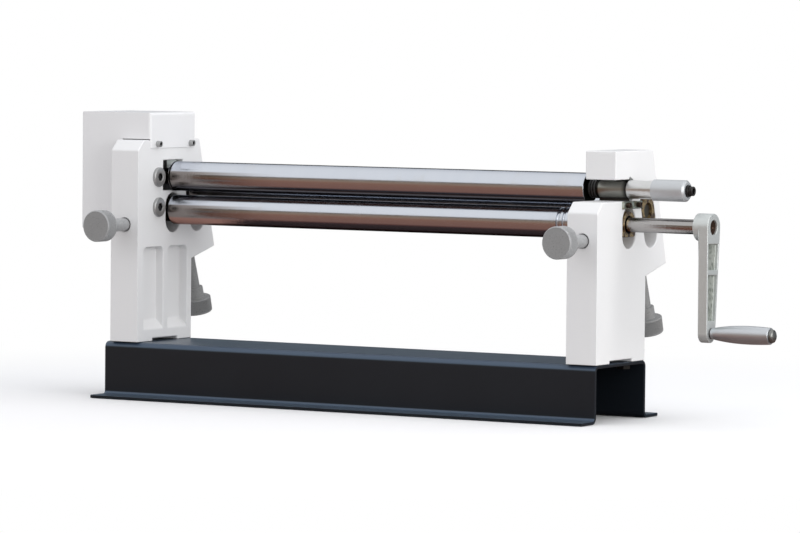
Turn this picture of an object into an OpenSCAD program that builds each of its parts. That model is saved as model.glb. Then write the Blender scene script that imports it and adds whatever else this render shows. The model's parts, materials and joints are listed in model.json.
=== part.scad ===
// Benchtop three-roll bending machine, hand cranked.
// Origin: middle of the base at bench level. +X runs along the rolls to the crank,
// -Y is the operator's side, +Z is up. Millimetres.

/* [Base channel] */
// Length of the base beyond the left housing
base_left_margin = 9; // [-4:0.5:40]
// Length of the base beyond the right housing
base_right_margin = -2; // [-4:0.5:40]
// Depth over the two upright walls
base_depth = 130; // [110:1:180]
// Height of the top plate's upper face
base_h = 71; // [50:1:110]
// Thickness of the bent sheet
base_t = 4; // [3:0.5:6]
// Outer radius of the bends
base_bend = 8; // [7:0.5:12]
// Width of each foot flange beyond its wall
flange_w = 33; // [28:1:50]
// Diameter of the bench bolt holes
bench_hole_d = 9; // [7:0.5:12]
// Distance between the bench bolt holes along the base
bench_hole_pitch = 370; // [200:1:520]

/* [Housings] */
// Thickness of each housing
housing_t = 42; // [34:1:60]
// Clear distance between the housings
housing_gap = 625; // [500:1:780]
// Depth of the front face ahead of the origin
housing_front = 67; // [60:1:80]
// Depth of the rear face behind the origin
housing_rear = 58.5; // [50:0.5:70]
// Height of each housing above the base
housing_h = 258.5; // [240:0.5:300]
// Size of the 45 degree chamfer at the front top edge
housing_chamfer = 13; // [6:0.5:20]
// Lean of the rear face, underside and rear slot
lean = 15; // [10:0.5:18]
// Reach of the rear wing's tip behind the origin
wing_reach = 112.5; // [104:0.5:125]
// Height of the wing's tip above the base
wing_h = 118; // [110:0.5:125]
// Room between the right housing's low front column and the journal that passes over it
column_room = 3.3; // [2:0.1:6]
// Place of the tall column's front face
column_front = -22; // [-28:0.5:-12]
// Width of the relief under each foot
relief_w = 57; // [30:1:70]
// Height of the relief under each foot
relief_h = 4; // [2:0.5:6]
// Place of the relief's middle
relief_y = -3; // [-12:0.5:6]

/* [Casting pockets] */
// Width of each pocket
pocket_w = 44; // [30:0.5:46]
// Depth of each pocket
pocket_depth = 12; // [6:0.5:16]
// Height of each pocket's lower edge above the base
pocket_low = 16; // [10:1:30]
// Height of each pocket's upper edge above the base
pocket_high = 121; // [80:1:122]
// Place of the front pocket's middle
pocket_front_y = -30; // [-35:0.5:-28]
// Place of the rear pocket's middle
pocket_rear_y = 25; // [22:0.5:28]
// Corner radius at each pocket's top
pocket_r = 7; // [3:0.5:10]

/* [Rolls] */
// Diameter of the three rolls
roll_d = 38; // [34:0.5:39]
// Gap between the left housing and the roll faces
roll_gap_left = 3; // [2:0.5:6]
// Gap between the roll faces and the right housing
roll_gap_right = 12; // [8:0.5:16]
// Distance behind the origin of the two pinch rolls
pinch_y = 14; // [10:0.5:16]
// Height of the lower roll's axis above the base
lower_h = 168.4; // [166:0.2:169]
// Opening between the pinch rolls at rest
nip = 5.1; // [4.8:0.1:7]
// Greatest lift of the lower roll, less than the opening
lower_lift = 4.5; // [2:0.1:4.5]
// Distance of the rear roll's axis above its slot's lower centre, along the slot
rear_rise = 30; // [26:0.5:31]
// Travel of the rear roll upwards along its slot
rear_up = 15; // [6:0.5:15]
// Diameter of the left journals
journal_d = 20; // [16:0.5:21]
// Diameter of the right journals
journal_right_d = 22; // [18:0.5:22]
// Widths of the wire grooves, smallest first
wire_grooves = [3, 4, 5]; // [2:0.5:6]
// Distance between the wire grooves
groove_pitch = 8; // [6:0.5:12]
// Distance of the first wire groove from the rolls' right face
groove_start = 20; // [6:0.5:24]

/* [Bearing slots] */
// Width of the slots that carry the bearing blocks
slot_w = 33; // [30:0.5:36]
// Height above a lower block's flat bottom at which its slot begins to round
slot_below = 2.1; // [2:0.1:3]
// Place of the rear slot's lower centre behind the origin
rear_slot_y = 71; // [69:0.5:73]
// Height of the rear slot's lower centre above the base
rear_slot_h = 155; // [152:0.5:158]
// Sliding clearance on each side of a bearing block
slide_fit = 0.1; // [0.05:0.01:0.2]
// Running clearance on the radius of a journal or pin
run_fit = 0.05; // [0.02:0.01:0.1]
// Distance from a block's bore down to its flat bottom
block_drop = 15; // [13:0.5:16]

/* [Gear cover] */
// Sheet thickness of the cover
cover_t = 1.5; // [1:0.1:2.5]
// Reach of the cover beyond the left housing
cover_reach = 63.5; // [40:0.5:90]
// Place of the cover's front face
cover_front = -41.5; // [-50:0.5:-36]
// Place of the cover's rear face
cover_rear = 63.5; // [54:0.5:66]
// Height of the cover's top above the housings
cover_rise = 35; // [20:0.5:50]
// Height of the cover's bottom above the base
cover_low = 143; // [120:1:150]
// Length of the tab below the housing's top
cover_tab = 10.5; // [9:0.5:14]
// Radius of the cover's bent edges
cover_r = 4; // [2:0.5:8]

/* [Crank] */
// Diameter of the crank shaft
shaft_d = 18; // [14:0.5:20]
// Length of shaft between the right housing and the hub
shaft_reach = 95; // [92:1:130]
// Distance from shaft to handle
crank_throw = 128; // [100:1:150]
// Lean of the hanging crank towards the operator
crank_lean = 2; // [0:0.5:10]
// Diameter of the hub
hub_d = 33.5; // [28:0.5:40]
// Length of the hub ahead of the arm
hub_len = 8.5; // [6:0.5:14]
// Thickness of the arm
arm_t = 12.5; // [10:0.5:16]
// Diameter of the arm's lower end
arm_end_d = 23; // [18:0.5:28]
// Length of the handle
handle_len = 80; // [60:1:110]
// Greatest diameter of the handle
handle_d = 22.5; // [20:0.5:28]
// Diameter of the handle at the arm
handle_root_d = 13.5; // [12:0.5:18]

/* [Release end] */
// Diameter of the collar outside the right housing
collar_d = 22.8; // [20:0.1:24]
// Length of the collar
collar_len = 34.5; // [20:0.5:45]
// Diameter of the release grip
grip_d = 26.3; // [24:0.1:27]
// Length of the release grip
grip_len = 45.5; // [30:0.5:50]

/* [Adjusting knobs] */
// Diameter of a knob's disc
knob_d = 40; // [30:0.5:46]
// Thickness of a knob's disc
knob_t = 20; // [14:0.5:26]
// Diameter of a knob's collar
knob_collar_d = 24; // [18:0.5:28]
// Length of a front knob's collar
knob_collar_front = 10; // [6:0.5:14]
// Length of a rear knob's collar
knob_collar_rear = 14; // [8:0.5:18]
// Diameter of a front knob's neck
front_neck_d = 16.4; // [14:0.2:18]
// Distance from the housing to a front knob's face
front_knob_reach = 64.5; // [60:0.5:90]
// Diameter of a rear knob's neck at the housing
rear_neck_d = 12.6; // [12.2:0.2:14]
// Diameter of a rear knob's neck at its collar
rear_neck_root_d = 16; // [14.5:0.2:18]
// Distance from the wing's underside to a rear knob's face
rear_knob_reach = 82; // [75:0.5:100]
// Diameter of the adjusting screws
screw_d = 12; // [10:0.5:12]
// Height of the front screws above the base
front_screw_h = 150.5; // [150:0.1:151]
// Slope of the front screws' tapered tips
tip_slope = 0.275; // [0.2:0.005:0.3]

/* [Hidden] */
$fn = 64;
eps = 0.01;
cut = 1;
base_len = housing_gap + 2 * housing_t + base_left_margin + base_right_margin;
housing_shift = (base_left_margin - base_right_margin) / 2;
left_in = housing_shift - housing_gap / 2;
left_out = left_in - housing_t;
right_in = housing_shift + housing_gap / 2;
right_out = right_in + housing_t;
roll_left = left_in + roll_gap_left;
roll_right = right_in - roll_gap_right;
housing_top = base_h + housing_h;
lower_z = base_h + lower_h;
upper_z = lower_z + roll_d + nip;
column_top = upper_z - journal_right_d / 2 - column_room;
slot_r = slot_w / 2;
block_bottom = lower_z - block_drop;
front_slot_bottom = block_bottom + slot_below;
slot_top_room = 0.4;
front_slot_top = lower_z + lower_lift + slot_top_room;
block_r = slot_r - slide_fit;
block_corner = 2.5;
// Depth of the right blocks' outer faces behind the housing's face, and of the left rear one's
block_recess = 0.3;
cover_recess = 1;
// The rear slot's frame: its origin is the slot's lower centre, its z axis runs up the slot
rear_slot_z = base_h + rear_slot_h;
rear_slot_len = rear_rise + rear_up + slot_top_room;
rear_y = rear_slot_y - rear_rise * sin(lean);
rear_z = rear_slot_z + rear_rise * cos(lean);
wing_z = base_h + wing_h;
wing_root_z = wing_z - (wing_reach - housing_rear) * tan(lean);
top_rear = wing_reach - (housing_top - wing_z) * tan(lean);
// Distance from the slot's lower centre down its axis to the wing's underside
wing_drop = ((rear_slot_z - wing_z) + (wing_reach - rear_slot_y) * tan(lean)) * cos(lean);
// Distances down a rear screw's axis, measured from the rear roll's axis
neck_top = rear_rise + wing_drop;
rear_knob_face = neck_top + rear_knob_reach;
// Swivel bearing and its window in the left housing
swivel_x = (left_in + left_out) / 2;
window_wall = 3.4;
window_front = pinch_y - roll_d / 2 - 4;
window_rear = pinch_y + roll_d / 2 + 3;
window_low = front_slot_top + slot_r + window_wall;
window_high = upper_z + roll_d / 2 + 1.5;
swivel_room = 0.3;
swivel_block_w = roll_d;
swivel_block_t = 26;
trunnion_d = 14;
trunnion_len = 15;
// Notch and seat of the right housing
journal_room = 1;
notch_ceiling = upper_z + journal_right_d / 2 + journal_room;
seat_wall = 3.45;
seat_r = journal_right_d / 2 + run_fit + seat_wall;
release_d = 16;
boss_d = 14;
boss_len = 3;
journal_end = right_out + collar_len + grip_len;
// Idler axles
idler_d = 24.6;
idler_y = pinch_y - roll_d / 2 - 3.7 - idler_d / 2;
idler_z = [lower_z + 3.8, upper_z - 0.7];
idler_head = 4;
idler_pin_d = 12;
idler_pin_len = 62;
socket_d = 11;
socket_depth = 3.5;
cover_screw_d = 8;
cover_screw_len = 6;
cover_screw_y = [cover_front + 16, cover_rear - 13];
cover_screw_z = housing_top - cover_tab / 2;
cover_screw_hole_d = 5;
slit = 1;
// Housing bolts
bolt_d = 10;
bolt_af = 16;
bolt_head_h = 6.4;
bolt_grip = 18;
bolt_room = 1;
bolt_y = [-48, 42];
// Retaining plate on the right housing's outer face
plate_t = 3;
plate_front = -5;
plate_rear = 42;
plate_low = column_top - 9.5;
plate_screw_y = [6.5, 33.5];
plate_screw_d = 7;
plate_screw_h = 3;
plate_socket_d = 4;
shaft_room = shaft_d + 2 * (lower_lift + 2);
ring_w = 2.4;
ring_d = 24;
ring_pitch = 3.6;
ring_start = 2.3;
// Knob screws
front_screw_z = base_h + front_screw_h;
tip_end_d = 1.6;
screw_tip_d = 8;
screw_tip_len = 3;
seat_gap = 0.02;
front_edge_of_block = pinch_y - block_r + block_corner;
tip_gap = 0.3;
tip_r_at_block = block_bottom - tip_gap - front_screw_z;
tip_start = front_edge_of_block - (screw_d / 2 - tip_r_at_block) / tip_slope;
tip_len = (screw_d - tip_end_d) / 2 / tip_slope;
front_feed = lower_lift / tip_slope;
counterbore_depth = front_feed + 4;
knob_edge = 1.5;
knob_bore_room = 1;
// Crank
hub_x = right_out + shaft_reach;
arm_x = hub_x + hub_len;
arm_out = arm_x + arm_t;
spindle_d = 8;
spindle_head_d = 16.5;
spindle_head_len = 5;
spindle_edge = 2;
handle_room = 0.5;
key_w = 5;
key_depth = 3;
arm_rim = 3.2;
arm_recess_depth = 4;
arm_web = 6;
arm_web_at = 54.5;
roll_chamfer = 1;

// ---------- Shared shapes ----------

// Extrudes a side view, drawn as [y, z], from x0 to x1
module along_x(x0, x1) {
    translate([x0, 0, 0]) rotate([90, 0, 90]) linear_extrude(x1 - x0) children();
}

// A round bar along X
module bar_x(x0, x1, d, y, z) {
    translate([x0, y, z]) rotate([0, 90, 0]) cylinder(h = x1 - x0, d = d);
}

// A cone along X
module cone_x(x0, x1, d0, d1, y, z) {
    translate([x0, y, z]) rotate([0, 90, 0]) cylinder(h = x1 - x0, d1 = d0, d2 = d1);
}

// An upright slot with round ends; its lower end's centre is the origin
module slot_shape(length, r) {
    circle(r);
    translate([0, length]) circle(r);
    translate([-r, 0]) square([2 * r, length]);
}

// Moves a side view into the leaning rear slot's frame
module in_rear_slot() {
    translate([rear_slot_y, rear_slot_z]) rotate(lean) children();
}

// Moves a solid into the rear slot's frame at a place along the rolls
module at_rear_slot(x) {
    translate([x, rear_slot_y, rear_slot_z]) rotate([lean, 0, 0]) children();
}

// ---------- Base ----------

function arc(cy, cz, r, a0, a1, n = 8) =
    [for (i = [0:n]) [cy + r * cos(a0 + (a1 - a0) * i / n), cz + r * sin(a0 + (a1 - a0) * i / n)]];

// Side view of one half of the bent sheet, from the top plate's middle round to it again
function base_half_points() =
    let (wall = base_depth / 2, inner = base_bend - base_t)
    concat(
        arc(wall - base_bend, base_h - base_bend, base_bend, 90, 0),
        arc(wall + inner, base_t + inner, inner, 180, 270),
        [[wall + flange_w, base_t], [wall + flange_w, 0]],
        arc(wall + inner, base_bend, base_bend, 270, 180),
        arc(wall - base_bend, base_h - base_bend, inner, 0, 90)
    );

function mirrored(points) = [for (i = [len(points) - 1:-1:0]) [-points[i][0], points[i][1]]];

module base_channel() {
    color([0.15, 0.16, 0.18])
    difference() {
        along_x(-base_len / 2, base_len / 2)
            polygon(concat(base_half_points(), mirrored(base_half_points())));
        for (x = [-1, 1], y = [-1, 1])
            translate([x * bench_hole_pitch / 2, y * (base_depth + flange_w) / 2, -cut])
                cylinder(h = base_t + 2 * cut, d = bench_hole_d);
        for (x = [housing_middle(-1), housing_middle(1)], y = bolt_y)
            translate([x, y, base_h - base_t - cut])
                cylinder(h = base_t + 2 * cut, d = bolt_d + bolt_room);
    }
}

// Middle of a housing's thickness: side -1 is the left one, 1 the right one
function housing_middle(side) = housing_shift + side * (housing_gap + housing_t) / 2;

module housing_bolt(side, y) {
    x = housing_middle(side);
    color([0.35, 0.36, 0.38]) {
        translate([x, y, base_h - base_t - bolt_head_h])
            cylinder(h = bolt_head_h, d = bolt_af / cos(30), $fn = 6);
        translate([x, y, base_h - base_t - eps]) cylinder(h = base_t + bolt_grip, d = bolt_d);
    }
}

// ---------- Housings ----------

function rear_points() = [
    [top_rear, housing_top],
    [wing_reach, wing_z],
    [housing_rear, wing_root_z],
    [housing_rear, base_h]
];

module foot_relief_shape() {
    translate([relief_y - relief_w / 2, base_h - cut]) square([relief_w, relief_h + cut]);
}

module bearing_slots_shape() {
    translate([pinch_y, front_slot_bottom]) slot_shape(front_slot_top - front_slot_bottom, slot_r);
    in_rear_slot() slot_shape(rear_slot_len, slot_r);
}

// The bores of one housing: bolt holes from below, and the screws from the front and below the wing
module housing_bores(x) {
    for (y = bolt_y)
        translate([x, y, base_h - cut]) cylinder(h = bolt_grip + bolt_room + cut, d = bolt_d + 2 * run_fit);
    translate([x, -housing_front - cut, front_screw_z]) rotate([-90, 0, 0]) {
        cylinder(h = housing_front + pinch_y + cut, d = screw_d + 2 * run_fit);
        cylinder(h = counterbore_depth + cut, d = front_neck_d + knob_bore_room);
    }
    at_rear_slot(x) {
        translate([0, 0, -wing_drop - slot_r]) cylinder(h = wing_drop + slot_r, d = screw_d + 2 * run_fit);
        translate([0, 0, -wing_drop - slot_r]) cylinder(h = slot_r + rear_up + 3, d = rear_neck_root_d);
    }
}

// A pocket cast into a housing's inner face; side -1 opens towards +X, side 1 towards -X
module pocket(side, y) {
    face = side < 0 ? left_in : right_in;
    ramp = pocket_depth - 1;
    high = base_h + pocket_high;
    low = base_h + pocket_low;
    intersection() {
        along_x(face - pocket_depth, face + pocket_depth) {
            translate([y - pocket_w / 2, low]) square([pocket_w, high - low - pocket_r]);
            translate([y - pocket_w / 2 + pocket_r, high - 2 * pocket_r])
                square([pocket_w - 2 * pocket_r, 2 * pocket_r]);
            for (s = [-1, 1])
                translate([y + s * (pocket_w / 2 - pocket_r), high - pocket_r]) circle(pocket_r);
        }
        translate([face, y + pocket_w, 0]) rotate([90, 0, 0]) linear_extrude(2 * pocket_w)
            polygon([
                [side * pocket_depth, low + ramp],
                [side * pocket_depth, high + cut],
                [-side * cut, high + cut],
                [-side * cut, low],
                [0, low]
            ]);
    }
}

module left_housing() {
    color([0.93, 0.93, 0.93])
    difference() {
        along_x(left_out, left_in) difference() {
            polygon(concat(
                [
                    [-housing_front, base_h],
                    [-housing_front, housing_top - housing_chamfer],
                    [-housing_front + housing_chamfer, housing_top]
                ],
                rear_points()
            ));
            foot_relief_shape();
            bearing_slots_shape();
            translate([window_front, window_low])
                square([window_rear - window_front, window_high - window_low]);
        }
        housing_bores(housing_middle(-1));
        pocket(-1, pocket_front_y);
        pocket(-1, pocket_rear_y);
        translate([swivel_x, pinch_y, window_high - cut])
            cylinder(h = trunnion_len + 1 + cut, d = trunnion_d + 2 * run_fit);
        for (z = idler_z)
            bar_x(left_out - cut, left_in + cut, idler_pin_d + 2 * run_fit, idler_y, z);
    }
}

module right_housing() {
    color([0.93, 0.93, 0.93])
    difference() {
        along_x(right_in, right_out) difference() {
            polygon(concat(
                [
                    [-housing_front, base_h],
                    [-housing_front, column_top - housing_chamfer],
                    [-housing_front + housing_chamfer, column_top],
                    [column_front, column_top],
                    [column_front, housing_top]
                ],
                rear_points()
            ));
            foot_relief_shape();
            bearing_slots_shape();
            translate([column_front - cut, column_top])
                square([pinch_y - column_front + cut + eps, notch_ceiling - column_top]);
            intersection() {
                translate([pinch_y, upper_z]) circle(seat_r);
                translate([pinch_y, column_top]) square([2 * seat_r, 4 * seat_r]);
            }
        }
        housing_bores(housing_middle(1));
        pocket(1, pocket_front_y);
        pocket(1, pocket_rear_y);
    }
}

// Half shell that the upper roll's right journal rests against
module journal_seat() {
    color([0.72, 0.73, 0.72])
    along_x(right_in, right_out) difference() {
        intersection() {
            translate([pinch_y, upper_z]) circle(seat_r - 2 * eps);
            translate([pinch_y + eps, column_top + 0.05]) square([2 * seat_r, 4 * seat_r]);
        }
        translate([pinch_y, upper_z]) circle(journal_right_d / 2 + run_fit);
    }
}

module retaining_plate() {
    color([0.72, 0.70, 0.62])
    difference() {
        along_x(right_out, right_out + plate_t)
            translate([plate_front, plate_low])
                square([plate_rear - plate_front, column_top - plate_low]);
        bar_x(right_out - cut, right_out + plate_t + cut, shaft_room, pinch_y, lower_z);
    }
}

module retaining_screw(y) {
    z = (plate_low + column_top) / 2;
    x0 = right_out + plate_t;
    x1 = x0 + plate_screw_h;
    color([0.25, 0.22, 0.2])
    difference() {
        bar_x(x0, x1, plate_screw_d, y, z);
        along_x(x1 - plate_screw_h / 2, x1 + cut) translate([y, z]) circle(d = plate_socket_d, $fn = 6);
    }
}

// ---------- Gear cover ----------

module cover_block(inset) {
    x0 = left_out - cover_reach + inset;
    x1 = left_in + cover_t - inset;
    r = max(cover_r - inset, 0.5);
    y0 = cover_front + inset;
    y1 = cover_rear - inset;
    top = housing_top + cover_rise - inset;
    intersection() {
        translate([0, 0, base_h + cover_low + inset]) linear_extrude(top - base_h - cover_low - inset)
            round_rect(x0, y0, x1, y1, r);
        translate([0, y1, 0]) rotate([90, 0, 0]) linear_extrude(y1 - y0)
            round_rect(x0, base_h + cover_low + inset, x1, top, r);
    }
}

// Rectangle with round corners
module round_rect(x0, y0, x1, y1, r) {
    translate([x0 + r, y0]) square([x1 - x0 - 2 * r, y1 - y0]);
    translate([x0, y0 + r]) square([x1 - x0, y1 - y0 - 2 * r]);
    for (x = [x0 + r, x1 - r], y = [y0 + r, y1 - r]) translate([x, y]) circle(r);
}

module gear_cover() {
    color([0.94, 0.94, 0.94])
    difference() {
        cover_block(0);
        cover_block(cover_t);
        // room for the housing below its top
        translate([left_out, cover_front - cut, base_h])
            cube([housing_t, cover_rear - cover_front + 2 * cut, housing_h + slit]);
        // the tab ends a little below the housing's top
        translate([left_in - cut, cover_front - cut, base_h])
            cube([cover_t + 2 * cut, cover_rear - cover_front + 2 * cut, housing_h - cover_tab]);
        for (y = cover_screw_y)
            bar_x(left_in - cut, left_in + cover_t + cut, cover_screw_hole_d, y, cover_screw_z);
    }
}

module cover_screw(y) {
    x0 = left_in + cover_t;
    x1 = x0 + cover_screw_len;
    color([0.75, 0.76, 0.76])
    difference() {
        bar_x(x0, x1, cover_screw_d, y, cover_screw_z);
        along_x(x1 - cover_screw_len / 2, x1 + cut)
            translate([y, cover_screw_z]) circle(d = cover_screw_hole_d, $fn = 6);
    }
}

module idler_axle(z) {
    color([0.6, 0.6, 0.62])
    difference() {
        union() {
            bar_x(left_in, left_in + idler_head, idler_d, idler_y, z);
            bar_x(left_in - idler_pin_len, left_in + eps, idler_pin_d, idler_y, z);
        }
        along_x(left_in + idler_head - socket_depth, left_in + idler_head + cut)
            translate([idler_y, z]) circle(d = socket_d, $fn = 6);
    }
}

// ---------- Lower roll, its bearings and the crank ----------

module block_shape(bore_r) {
    difference() {
        union() {
            intersection() {
                circle(block_r);
                translate([-block_r, -block_drop]) square([2 * block_r, block_drop + block_r]);
            }
            polygon([
                [-block_r, 0],
                [-block_r, -block_drop + block_corner],
                [-block_r + block_corner, -block_drop],
                [block_r - block_corner, -block_drop],
                [block_r, -block_drop + block_corner],
                [block_r, 0]
            ]);
        }
        circle(bore_r);
    }
}

module lower_bearing(x0, x1, bore_r) {
    color([0.42, 0.30, 0.20])
    along_x(x0, x1) translate([pinch_y, lower_z]) block_shape(bore_r);
}

// Roll body with its wire grooves at the right end
module roll_body(y, z) {
    difference() {
        union() {
            cone_x(roll_left, roll_left + roll_chamfer, roll_d - 2 * roll_chamfer, roll_d, y, z);
            bar_x(roll_left + roll_chamfer, roll_right - roll_chamfer, roll_d, y, z);
            cone_x(roll_right - roll_chamfer, roll_right, roll_d, roll_d - 2 * roll_chamfer, y, z);
        }
        children();
    }
}

module wire_groove_cuts(y, z) {
    for (i = [0:len(wire_grooves) - 1])
        translate([roll_right - groove_start - i * groove_pitch, y, z]) rotate([0, 90, 0])
            rotate_extrude() translate([roll_d / 2, 0]) circle(d = wire_grooves[i]);
}

module lower_roll() {
    color([0.62, 0.62, 0.64])
    difference() {
        union() {
            roll_body(pinch_y, lower_z) wire_groove_cuts(pinch_y, lower_z);
            bar_x(left_out - 3, roll_left + eps, journal_d, pinch_y, lower_z);
            bar_x(roll_right - eps, right_out - 1, journal_right_d, pinch_y, lower_z);
            bar_x(right_out - 1 - eps, arm_out - 2, shaft_d, pinch_y, lower_z);
        }
        translate([hub_x, pinch_y - key_w / 2, lower_z + shaft_d / 2 - key_depth])
            cube([arm_out - hub_x, key_w, key_depth + cut]);
    }
}

// Everything on the crank is drawn hanging straight down and then leaned
module crank_place() {
    translate([0, pinch_y, lower_z]) rotate([-crank_lean, 0, 0]) children();
}

module arm_outline() {
    slope = asin((hub_d - arm_end_d) / 2 / crank_throw);
    circle(d = hub_d);
    translate([0, -crank_throw]) circle(d = arm_end_d);
    polygon([
        [-hub_d / 2 * cos(slope), -hub_d / 2 * sin(slope)],
        [hub_d / 2 * cos(slope), -hub_d / 2 * sin(slope)],
        [arm_end_d / 2 * cos(slope), -crank_throw - arm_end_d / 2 * sin(slope)],
        [-arm_end_d / 2 * cos(slope), -crank_throw - arm_end_d / 2 * sin(slope)]
    ]);
}

// Recess in the arm's outer face between two distances below the shaft
module arm_recess(from, to) {
    half_from = (hub_d + (arm_end_d - hub_d) * from / crank_throw) / 2 - arm_rim;
    half_to = (hub_d + (arm_end_d - hub_d) * to / crank_throw) / 2 - arm_rim;
    polygon([[-half_from, -from], [half_from, -from], [half_to, -to], [-half_to, -to]]);
}

module crank_arm() {
    color([0.70, 0.72, 0.70])
    crank_place() difference() {
        union() {
            bar_x(hub_x, arm_x + eps, hub_d, 0, 0);
            along_x(arm_x, arm_out) arm_outline();
        }
        bar_x(hub_x - cut, arm_out + cut, shaft_d + 2 * run_fit, 0, 0);
        bar_x(arm_x - cut, arm_out + cut, spindle_d + 2 * run_fit, 0, -crank_throw);
        along_x(arm_out - arm_recess_depth, arm_out + cut) {
            arm_recess(hub_d / 2 + arm_rim, arm_web_at - arm_web / 2);
            arm_recess(arm_web_at + arm_web / 2, crank_throw - arm_end_d / 2 - arm_rim);
        }
    }
}

module handle_spindle() {
    x1 = arm_out + handle_len + 2 * handle_room;
    color([0.66, 0.66, 0.66])
    crank_place() {
        bar_x(arm_x, x1 + eps, spindle_d, 0, -crank_throw);
        translate([x1, 0, -crank_throw]) rotate([0, 90, 0]) rotate_extrude() {
            square([spindle_head_d / 2 - spindle_edge, spindle_head_len]);
            square([spindle_head_d / 2, spindle_head_len - spindle_edge]);
            translate([spindle_head_d / 2 - spindle_edge, spindle_head_len - spindle_edge])
                circle(spindle_edge);
        }
    }
}

module crank_handle() {
    color([0.68, 0.68, 0.69])
    crank_place() translate([arm_out + handle_room, 0, -crank_throw]) rotate([0, 90, 0]) rotate_extrude()
        polygon(concat(
            [[spindle_d / 2 + run_fit, 0], [handle_root_d / 2, 0]],
            [for (i = [0:10]) handle_point(i / 10)],
            [[spindle_d / 2 + run_fit, handle_len]]
        ));
}

// Belly of the handle: a smooth swell from the root to the widest place, then in again
function handle_point(t) = [
    handle_root_d / 2 + (handle_d - handle_root_d) / 2 * sin(130 * pow(t, 0.8)),
    3 + t * (handle_len - 3)
];

// ---------- Upper roll ----------

module swivel_bearing() {
    color([0.16, 0.14, 0.14])
    difference() {
        union() {
            translate([
                swivel_x - swivel_block_t / 2,
                pinch_y - swivel_block_w / 2,
                window_low + swivel_room
            ])
                cube([swivel_block_t, swivel_block_w, window_high - window_low - 2 * swivel_room]);
            translate([swivel_x, pinch_y, window_high - 1])
                cylinder(h = trunnion_len + 1, d = trunnion_d);
        }
        bar_x(
            swivel_x - swivel_block_t, swivel_x + swivel_block_t,
            journal_d + 2 * run_fit, pinch_y, upper_z
        );
    }
}

module upper_roll() {
    color([0.62, 0.62, 0.64]) {
        roll_body(pinch_y, upper_z);
        bar_x(left_out - 3, roll_left + eps, journal_d, pinch_y, upper_z);
        bar_x(roll_right - eps, right_out, journal_right_d, pinch_y, upper_z);
        bar_x(right_out - eps, journal_end, release_d, pinch_y, upper_z);
    }
}

// Dark rings on the journal beside the roll's right face; place 0 is the inmost one
module journal_ring(place) {
    x = roll_right + ring_start + place * ring_pitch;
    color([0.05, 0.05, 0.05])
    difference() {
        bar_x(x, x + ring_w, ring_d, pinch_y, upper_z);
        bar_x(x - cut, x + ring_w + cut, journal_right_d + 2 * run_fit, pinch_y, upper_z);
    }
}

module release_collar() {
    color([0.74, 0.75, 0.75])
    difference() {
        bar_x(right_out + 0.3, right_out + collar_len, collar_d, pinch_y, upper_z);
        bar_x(right_out - cut, journal_end, release_d + 2 * run_fit, pinch_y, upper_z);
    }
}

module release_grip() {
    chamfer = 2.5;
    x0 = right_out + collar_len;
    x1 = x0 + grip_len;
    color([0.68, 0.69, 0.69])
    difference() {
        union() {
            bar_x(x0, x1 - chamfer, grip_d, pinch_y, upper_z);
            cone_x(x1 - chamfer - eps, x1, grip_d, grip_d - 2 * chamfer, pinch_y, upper_z);
        }
        bar_x(x0 - cut, x1 + cut, release_d + 2 * run_fit, pinch_y, upper_z);
    }
}

module grip_screw() {
    head_d = 11.6;
    head_len = 5;
    x1 = journal_end + boss_len + head_len;
    color([0.06, 0.06, 0.06])
    difference() {
        union() {
            bar_x(journal_end, journal_end + boss_len, boss_d, pinch_y, upper_z);
            bar_x(journal_end + boss_len - eps, x1, head_d, pinch_y, upper_z);
        }
        along_x(x1 - 3.5, x1 + cut) translate([pinch_y, upper_z]) circle(d = 6.9, $fn = 6);
    }
}

// ---------- Rear roll ----------

module rear_bearing(side, x0, x1) {
    color([0.45, 0.33, 0.2])
    translate([0, rear_y, rear_z]) rotate([lean, 0, 0]) difference() {
        along_x(x0, x1) block_shape(journal_d / 2 + run_fit);
        translate([housing_middle(side), 0, -block_drop - cut])
            cylinder(h = screw_tip_len + cut, d = screw_tip_d + 2 * run_fit);
    }
}

module rear_roll() {
    color([0.62, 0.62, 0.64]) {
        roll_body(rear_y, rear_z) wire_groove_cuts(rear_y, rear_z);
        bar_x(left_out + 4, roll_left + eps, journal_d, rear_y, rear_z);
        bar_x(roll_right - eps, right_out - 4, journal_d, rear_y, rear_z);
    }
}

// A rear screw's place: the frame's origin is the rear roll's axis, z runs up the slot
module at_rear_screw(side) {
    translate([housing_middle(side), rear_y, rear_z]) rotate([lean, 0, 0]) children();
}

module rear_screw(side) {
    color([0.45, 0.45, 0.46])
    at_rear_screw(side) {
        translate([0, 0, seat_gap - neck_top])
            cylinder(h = neck_top - block_drop - tip_gap - seat_gap, d = screw_d);
        translate([0, 0, -block_drop - tip_gap - eps]) cylinder(h = screw_tip_len, d = screw_tip_d);
    }
}

module knob_profile(length, collar_len, neck_top_d, neck_root_d) {
    neck_len = length - knob_t - collar_len;
    polygon([
        [0, 0],
        [knob_d / 2 - knob_edge, 0],
        [knob_d / 2, knob_edge],
        [knob_d / 2, knob_t - 1],
        [knob_d / 2 - 1, knob_t],
        [knob_collar_d / 2, knob_t],
        [knob_collar_d / 2 - 0.5, knob_t + collar_len],
        [neck_root_d / 2, knob_t + collar_len],
        [neck_top_d / 2, knob_t + collar_len + neck_len],
        [0, knob_t + collar_len + neck_len]
    ]);
}

module rear_knob(side) {
    color([0.55, 0.55, 0.56])
    at_rear_screw(side) translate([0, 0, -rear_knob_face]) rotate_extrude()
        knob_profile(rear_knob_reach, knob_collar_rear, rear_neck_d, rear_neck_root_d);
}

// ---------- Front screws and knobs ----------

module front_screw(side) {
    color([0.45, 0.45, 0.46])
    translate([housing_middle(side), -housing_front, front_screw_z]) rotate([-90, 0, 0]) {
        cylinder(h = tip_start + housing_front, d = screw_d);
        translate([0, 0, tip_start + housing_front - eps])
            cylinder(h = tip_len, d1 = screw_d, d2 = tip_end_d);
    }
}

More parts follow.
